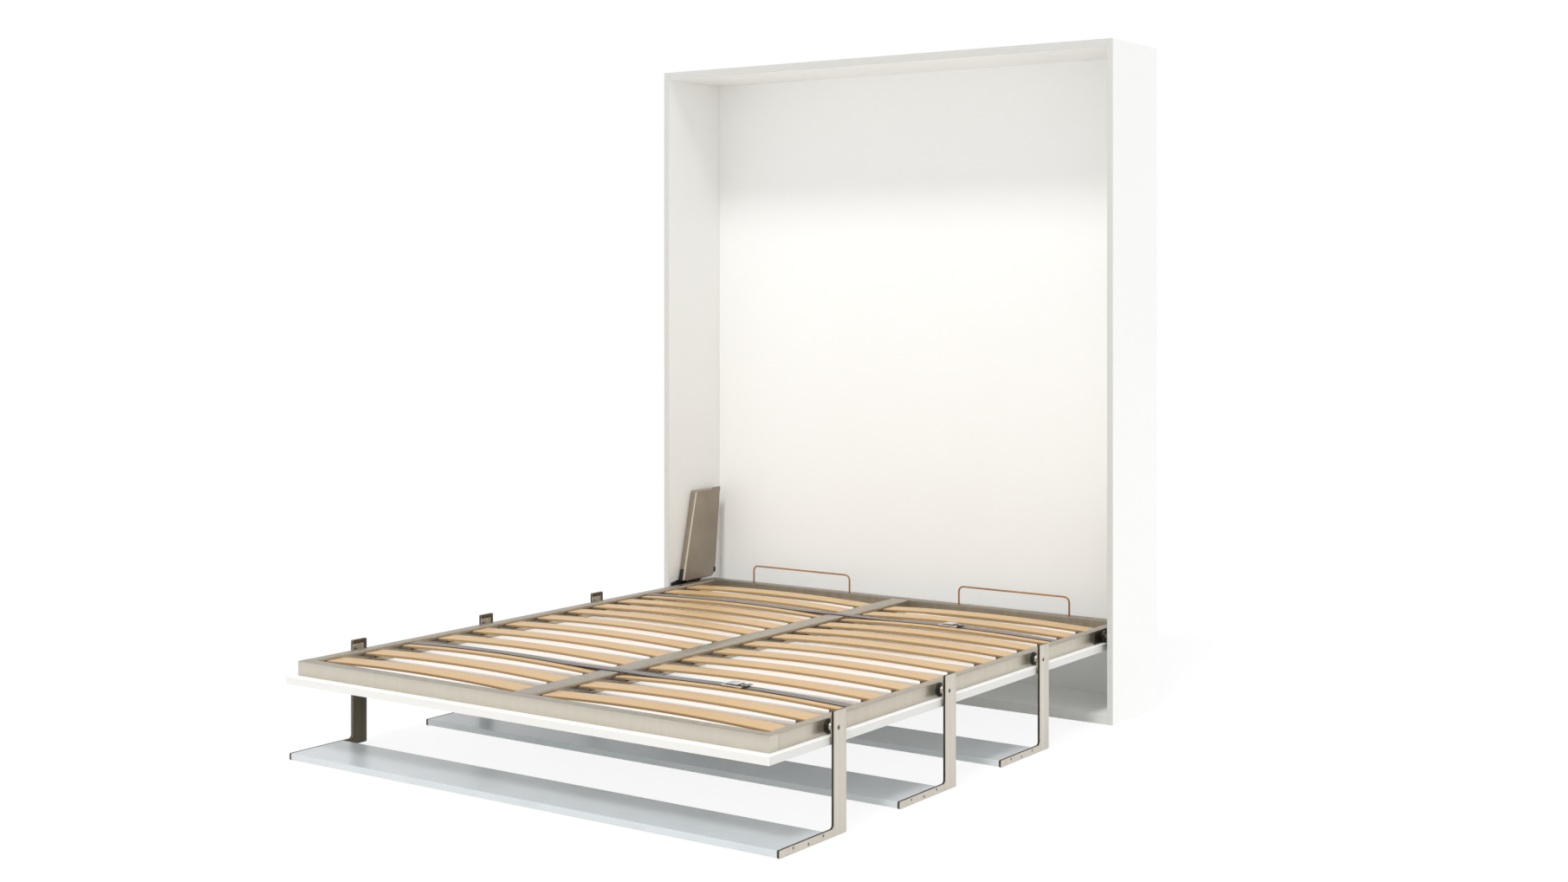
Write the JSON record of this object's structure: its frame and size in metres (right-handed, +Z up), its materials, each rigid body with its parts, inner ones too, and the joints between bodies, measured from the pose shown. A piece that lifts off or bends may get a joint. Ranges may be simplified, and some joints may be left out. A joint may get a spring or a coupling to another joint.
{
  "type": "murphy wall bed",
  "caption": "Open double wall bed: shallow white cabinet, steel frame with sprung beech slats, front panel, and self-levelling shelves on L-shaped arms that serve as feet.",
  "frame": {"origin": "on the floor under the middle of the cabinet's depth and width, on the underside of the cabinet's base board", "axes": "+X to the right seen from the front, +Y into the wall behind the cabinet, +Z up"},
  "size_m": [1.794, 2.138, 2.194],
  "materials": {
    "white_board": "matt white melamine-faced board",
    "frame_metal": "satin warm nickel paint with fine brushed streaks",
    "arm_metal": "satin warm nickel, brushed",
    "cover_metal": "satin taupe paint on sheet metal",
    "trim_metal": "satin pale aluminium",
    "mechanism_steel": "dark satin zinc and paint",
    "spring_paint": "black gloss paint",
    "rod_chrome": "polished hard chrome",
    "screw_steel": "zinc-plated steel",
    "black_plastic": "moulded matt black plastic",
    "holder_plastic": "moulded dark grey plastic",
    "slat_beech": "lacquered bent beech",
    "strap_webbing": "woven grey-lilac polyester webbing",
    "buckle_metal": "satin nickel-plated",
    "hoop_copper": "satin copper-coloured coating on wire",
    "shelf_lacquer": "satin pale blue-grey lacquer"
  },
  "bodies": {
    "cabinet": {"cabinet_side_left": "white_board", "cabinet_side_right": "white_board", "cabinet_top": "white_board", "cabinet_bottom": "white_board", "cabinet_back": "white_board", "cabinet_dowels": "slat_beech", "wall_brackets": "screw_steel", "mechanism_plate_left": "mechanism_steel", "mechanism_plate_right": "mechanism_steel", "bearing_blocks": "black_plastic", "main_pivot_pins": "screw_steel", "gas_spring_cylinder_left": "spring_paint", "gas_spring_cylinder_right": "spring_paint", "mechanism_cover_left": "cover_metal", "mechanism_cover_right": "cover_metal", "cover_edge_strips": "trim_metal", "cover_end_caps": "black_plastic", "cabinet_fasteners": "screw_steel"},
    "bed": {"side_rail_left": "frame_metal", "side_rail_right": "frame_metal", "foot_rail": "frame_metal", "head_rail": "frame_metal", "centre_beam": "frame_metal", "front_panel": "white_board", "panel_screws": "screw_steel", "hinge_bracket_left": "mechanism_steel", "hinge_bracket_right": "mechanism_steel", "pivot_bushes": "black_plastic", "slat_rows_01_02": "slat_beech", "slat_rows_03_04": "slat_beech", "slat_rows_05_06": "slat_beech", "slat_rows_07_08": "slat_beech", "slat_rows_09_10": "slat_beech", "slat_rows_11_12": "slat_beech", "slat_row_13": "slat_beech", "slat_holders": "holder_plastic", "mattress_strap_front": "strap_webbing", "mattress_strap_rear": "strap_webbing", "strap_buckles": "buckle_metal", "pillow_hoop_left": "hoop_copper", "pillow_hoop_right": "hoop_copper"},
    "shelf_1": {"shelf_board_1": "shelf_lacquer", "shelf_arm_1_left": "arm_metal", "shelf_arm_1_right": "arm_metal", "shelf_axles_1": "arm_metal", "shelf_screws_1": "screw_steel"},
    "shelf_2": {"shelf_board_2": "shelf_lacquer", "shelf_arm_2_left": "arm_metal", "shelf_arm_2_right": "arm_metal", "shelf_axles_2": "arm_metal", "shelf_screws_2": "screw_steel"},
    "shelf_3": {"shelf_board_3": "shelf_lacquer", "shelf_arm_3_left": "arm_metal", "shelf_arm_3_right": "arm_metal", "shelf_axles_3": "arm_metal", "shelf_screws_3": "screw_steel"},
    "tie_rod_left": {"tie_rod_left": "mechanism_steel"},
    "tie_rod_right": {"tie_rod_right": "mechanism_steel"},
    "gas_rod_left": {"gas_spring_rod_left": "rod_chrome"},
    "gas_rod_right": {"gas_spring_rod_right": "rod_chrome"}
  },
  "joints": [
    {"name": "bed_tilt", "type": "hinge", "parent": "cabinet", "child": "bed", "pos_m": [0, -0.121, 0.27], "axis": [-1, 0, 0], "range_deg": [0, 90]},
    {"name": "shelf_1_levelling", "type": "hinge", "parent": "bed", "child": "shelf_1", "pos_m": [0, -1.689, 0.27], "axis": [1, 0, 0], "range_deg": [0, 90]},
    {"name": "shelf_2_levelling", "type": "hinge", "parent": "bed", "child": "shelf_2", "pos_m": [0, -1.137, 0.27], "axis": [1, 0, 0], "range_deg": [0, 90]},
    {"name": "shelf_3_levelling", "type": "hinge", "parent": "bed", "child": "shelf_3", "pos_m": [0, -0.585, 0.27], "axis": [1, 0, 0], "range_deg": [0, 90]},
    {"name": "tie_rod_left_swing", "type": "hinge", "parent": "shelf_3", "child": "tie_rod_left", "pos_m": [-0.823, -0.57651, 0.27848], "axis": [-1, 0, 0], "range_deg": [0, 90]},
    {"name": "tie_rod_right_swing", "type": "hinge", "parent": "shelf_3", "child": "tie_rod_right", "pos_m": [0.823, -0.57651, 0.27848], "axis": [-1, 0, 0], "range_deg": [0, 90]},
    {"name": "gas_rod_left_slide", "type": "slide", "parent": "cabinet", "child": "gas_rod_left", "axis": [0, -0.4226, -0.9063], "range_m": [0, 0.0637]},
    {"name": "gas_rod_right_slide", "type": "slide", "parent": "cabinet", "child": "gas_rod_right", "axis": [0, -0.4226, -0.9063], "range_m": [0, 0.0637]}
  ],
  "couplings": [
    {"joint": "shelf_1_levelling", "follows": "bed_tilt", "ratio": 1},
    {"joint": "shelf_2_levelling", "follows": "bed_tilt", "ratio": 1},
    {"joint": "shelf_3_levelling", "follows": "bed_tilt", "ratio": 1},
    {"joint": "tie_rod_left_swing", "follows": "bed_tilt", "ratio": 1},
    {"joint": "tie_rod_right_swing", "follows": "bed_tilt", "ratio": 1},
    {"joint": "gas_rod_left_slide", "follows": "bed_tilt", "m_per_rad": 0.040514},
    {"joint": "gas_rod_right_slide", "follows": "bed_tilt", "m_per_rad": 0.040514}
  ]
}
